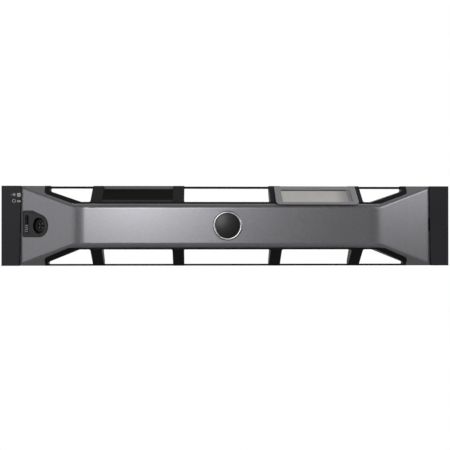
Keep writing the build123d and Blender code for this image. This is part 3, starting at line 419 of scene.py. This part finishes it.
# Lock escutcheon: a charcoal panel let into the left flare, with a raised rim round an oval cup.
# It carries the lock, whose axis stands square on the flare, and is slotted for the release slider.
joints = {joint["name"]: joint for joint in frame["joints"]}
lock_centre = Vector(joints["lock_turn"]["pos_m"])
flare_out = -Vector(joints["lock_turn"]["axis"])
flare_across = Vector((0.0, 0.0, 1.0)).cross(flare_out)
flare_level = lock_centre.dot(flare_out)
face_below, face_above = 0.0003, 0.0002

escutcheon_plastic = Finish("charcoal plastic, painted shade inside the cup", Specular_IOR_Level=0.2)
panel_grain = escutcheon_plastic.noise(texture_cells, 1.0)
# Painted shade: the surfaces below the panel's front face, inside the cup and the slot, are painted
# near-black.
front_clear_of_painted_shade = escutcheon_plastic.beyond(flare_level - face_below, flare_level + face_above, flare_out)
escutcheon_plastic.feed(Base_Color=escutcheon_plastic.blend(front_clear_of_painted_shade, (0.004, 0.004, 0.004),
                                                            (0.034, 0.034, 0.035)))
escutcheon_plastic.feed(Roughness=0.44 + panel_grain * 0.08)
escutcheon_plastic.grain(panel_grain, 0.18, texture_depth)
moulded_copy("lock_escutcheon", "lock_escutcheon_panel", 0.0002, escutcheon_plastic.material)


# Key lock: a die-cast barrel with a turning plug, plated black, and four steel pins in the plug's
# ring-shaped keyway. The nut, the cam and its screw behind the panel are zinc-plated steel.
plug_face_depth = 0.0028
pin_circle, pin_radius, pin_length, pin_recess, pin_round = 0.00265, 0.00052, 0.0040, 0.0004, 0.0002
pin_angles = (45.0, 135.0, 225.0, 315.0)

dark_plating = Finish("black plating", Metallic=0.5, Specular_IOR_Level=0.3)
tarnish = dark_plating.noise(700.0, 3.0)
dark_plating.feed(Base_Color=dark_plating.blend(tarnish, (0.006, 0.006, 0.006), (0.014, 0.014, 0.014)))
dark_plating.feed(Roughness=0.36 + tarnish * 0.15)
moulded_copy("lock_barrel", "lock_barrel_plated", 0.0001, dark_plating.material)
moulded_copy("lock_plug", "lock_plug_plated", 0.0001, dark_plating.material, "lock")

bright_steel = Finish("zinc-plated steel", Metallic=1.0)
brushing = bright_steel.noise(400.0, 3.0, (1.0, 1.0, 0.08))
bright_steel.feed(Base_Color=bright_steel.blend(brushing, (0.36, 0.36, 0.37), (0.50, 0.50, 0.51)))
bright_steel.feed(Roughness=0.28 + brushing * 0.16)
moulded_copy("lock_nut", "lock_nut_steel", 0.0001, bright_steel.material)

pin_steel = Finish("dull pin steel", Metallic=0.9)
pin_tarnish = pin_steel.noise(1500.0, 2.0)
pin_steel.feed(Base_Color=pin_steel.blend(pin_tarnish, (0.30, 0.30, 0.30), (0.42, 0.42, 0.42)))
pin_steel.feed(Roughness=0.42 + pin_tarnish * 0.12)

pins = bmesh.new()
pin_front = -plug_face_depth - pin_recess
for angle in pin_angles:
    around = Matrix.Rotation(math.radians(angle), 3, flare_out) @ flare_across
    middle = lock_centre + flare_out * (pin_front - pin_length / 2) + around * pin_circle
    place = Matrix.Translation(middle) @ flare_out.to_track_quat("Z", "Y").to_matrix().to_4x4()
    pin = bmesh.ops.create_cone(pins, cap_ends=True, segments=20, radius1=pin_radius, radius2=pin_radius,
                                depth=pin_length, matrix=place)["verts"]
    tip = [vert for vert in pin if (vert.co - middle).dot(flare_out) > 0]
    rim = [edge for edge in pins.edges if edge.verts[0] in tip and edge.verts[1] in tip]
    bmesh.ops.bevel(pins, geom=rim, offset=pin_round, segments=3, profile=0.5, affect="EDGES", material=-1)
for face in pins.faces:
    face.smooth = True
keyway_pins = shown(pins, bpy.data.meshes.new("keyway_pins"), "keyway_pins", pin_steel.material)
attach(keyway_pins, "lock")
moulded_copy("lock_cam", "lock_cam_steel", 0.0001, bright_steel.material, "lock")
moulded_copy("cam_screw", "cam_screw_steel", 0.0, bright_steel.material, "lock")


# Release latch: a ribbed thumb slider riveted to a steel bar, which lifts a hook off the rack ear
# against a small coil spring. A black cover screwed to the fascia's guides closes it.
crest_highlight_start, crest_highlight_full = 0.0004, 0.0009

rib_plastic = Finish("black plastic with painted highlights on its ribs", Specular_IOR_Level=0.3)
highlight_mottle = rib_plastic.noise(500.0, 2.0)
# Painted highlight: the crests of the slider's ribs are painted lighter than the plastic.
rib_crest_highlight = rib_plastic.beyond(flare_level + crest_highlight_start, flare_level + crest_highlight_full, flare_out)
rib_plastic.feed(Base_Color=rib_plastic.blend(rib_crest_highlight * (highlight_mottle * 0.5 + 0.6),
                                              (0.006, 0.006, 0.006), (0.26, 0.26, 0.265)))
rib_plastic.feed(Roughness=0.45 - rib_crest_highlight * 0.12)
moulded_copy("release_slider", "release_slider_knob", 0.00015, rib_plastic.material, "latch")
moulded_copy("latch_bar", "latch_bar_steel", 0.00015, dark_plating.material, "latch")
moulded_copy("latch_cover", "latch_cover_moulding", 0.00015, black_plastic)
spring_wire = moulded_copy("latch_spring", "latch_spring_wire", 0.0, bright_steel.material)
spring_low, spring_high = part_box("latch_spring")
spring_top = (spring_low + spring_high) / 2
spring_top.z = spring_high[2]
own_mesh(spring_wire)
moulded_copy("latch_cover_screws", "latch_cover_screws_steel", 0.0, bright_steel.material)


# Steel fittings behind: the hinge bracket with its two hooks, and the screws that hold the bracket,
# the fascia and the end caps, all zinc-plated. The badge's push nut is spring steel and as bright.
moulded_copy("hinge_bracket", "hinge_bracket_steel", 0.0002, bright_steel.material)
moulded_copy("bracket_screws", "bracket_screws_steel", 0.0, bright_steel.material)
moulded_copy("fascia_screws", "fascia_screws_steel", 0.0, bright_steel.material)
moulded_copy("end_cap_screws", "end_cap_screws_steel", 0.0, bright_steel.material)
moulded_copy("badge_clip", "badge_clip_steel", 0.0, bright_steel.material)


# Studio: a plain pale floor well below the bezel and a white wall behind it, air that is white behind
# and grey in front, a softbox just left of the camera, a panel at each side, and the camera.
front_grey = 0.17
floor_z, wall_y, studio_reach = -0.66, 1.6, 5.0


def studio_surface(name, corners, shade):
    """Flat plain surface of the studio."""
    sheet = bmesh.new()
    sheet.faces.new([sheet.verts.new(corner) for corner in corners])
    pale = Finish(name, Base_Color=(shade, shade, shade, 1.0), Roughness=0.9, Specular_IOR_Level=0.1)
    shown(sheet, bpy.data.meshes.new(name), name, pale.material)
    return pale


def seen_white(pale):
    """Makes a surface plain white to the camera, and to what metal and glass mirror or let through."""
    camera_ray, glossy_ray, through_ray = [
        pale.node("ShaderNodeLightPath", {}, {}, kind)
        for kind in ("Is Camera Ray", "Is Glossy Ray", "Is Transmission Ray")]
    glow = pale.node("ShaderNodeEmission", {}, {"Color": (1.0, 1.0, 1.0, 1.0), "Strength": 1.0})
    plain = Socket(pale, pale.shader.outputs["BSDF"])
    mixed = pale.node("ShaderNodeMixShader", {},
                      {"Fac": (camera_ray + glossy_ray + through_ray).clamped(), 1: plain, 2: glow})
    pale.tree.links.new(mixed.output, pale.tree.nodes["Material Output"].inputs["Surface"])


floor_left, floor_right = (-studio_reach, wall_y, floor_z), (studio_reach, wall_y, floor_z)
studio_surface("studio_floor", ((-studio_reach, -studio_reach, floor_z),
                                (studio_reach, -studio_reach, floor_z), floor_right, floor_left), 0.5)
seen_white(studio_surface("studio_wall", (floor_left, floor_right, (studio_reach, wall_y, studio_reach),
                                          (-studio_reach, wall_y, studio_reach)), 0.8))

world = bpy.data.worlds.new("studio air")
bpy.context.scene.world = world
world.use_nodes = True
air = Nodes(world.node_tree)
toward = air.node("ShaderNodeTexCoord", {}, {}, "Generated")
depth = air.node("ShaderNodeSeparateXYZ", {}, {"Vector": toward}, "Y")
behind = air.node("ShaderNodeMapRange", {"interpolation_type": "SMOOTHSTEP"},
                  {"Value": depth, "From Min": 0.1, "From Max": 0.6, "To Min": front_grey, "To Max": 1.0})
air.tree.links.new(behind.output, air.tree.nodes["Background"].inputs["Strength"])
air.tree.nodes["Background"].inputs["Color"].default_value = (1.0, 1.0, 1.0, 1.0)


def soft_lamp(name, place, target, width, height, power):
    """Softbox that faces the bezel."""
    light = bpy.data.lights.new(name, "AREA")
    light.shape = "RECTANGLE"
    light.size = width
    light.size_y = height
    light.energy = power
    lamp = bpy.data.objects.new(name, light)
    bpy.context.scene.collection.objects.link(lamp)
    aim = Vector(target) - Vector(place)
    lamp.matrix_world = Matrix.Translation(place) @ aim.to_track_quat("-Z", "Y").to_matrix().to_4x4()


soft_lamp("key_softbox", (-0.27, -1.50, 0.30), (-0.05, 0.0, 0.0), width=0.44, height=0.54, power=10.0)
soft_lamp("left_panel", (-1.28, -0.55, 0.24), (-0.2, 0.0, 0.0), width=0.8, height=0.8, power=2.9)
soft_lamp("right_panel", (1.25, -0.45, 0.42), (0.2, 0.0, 0.0), width=0.7, height=0.7, power=7.0)

frame_pixels, focal_pixels, sensor_width = 450, 916.9, 36.0
camera_place = (-0.0305, -0.9974, -0.0040)
camera_pan, camera_tilt = math.radians(-1.672), math.radians(90.282)

view = bpy.data.cameras.new("photograph_view")
view.sensor_fit = "HORIZONTAL"
view.sensor_width = sensor_width
view.lens = sensor_width * focal_pixels / frame_pixels
view.clip_start = 0.01
camera = bpy.data.objects.new("photograph_view", view)
bpy.context.scene.collection.objects.link(camera)
turn = Matrix.Rotation(camera_pan, 4, "Z") @ Matrix.Rotation(camera_tilt, 4, "X")
camera.matrix_world = Matrix.Translation(camera_place) @ turn
bpy.context.scene.camera = camera
bpy.context.scene.view_settings.view_transform = "Standard"
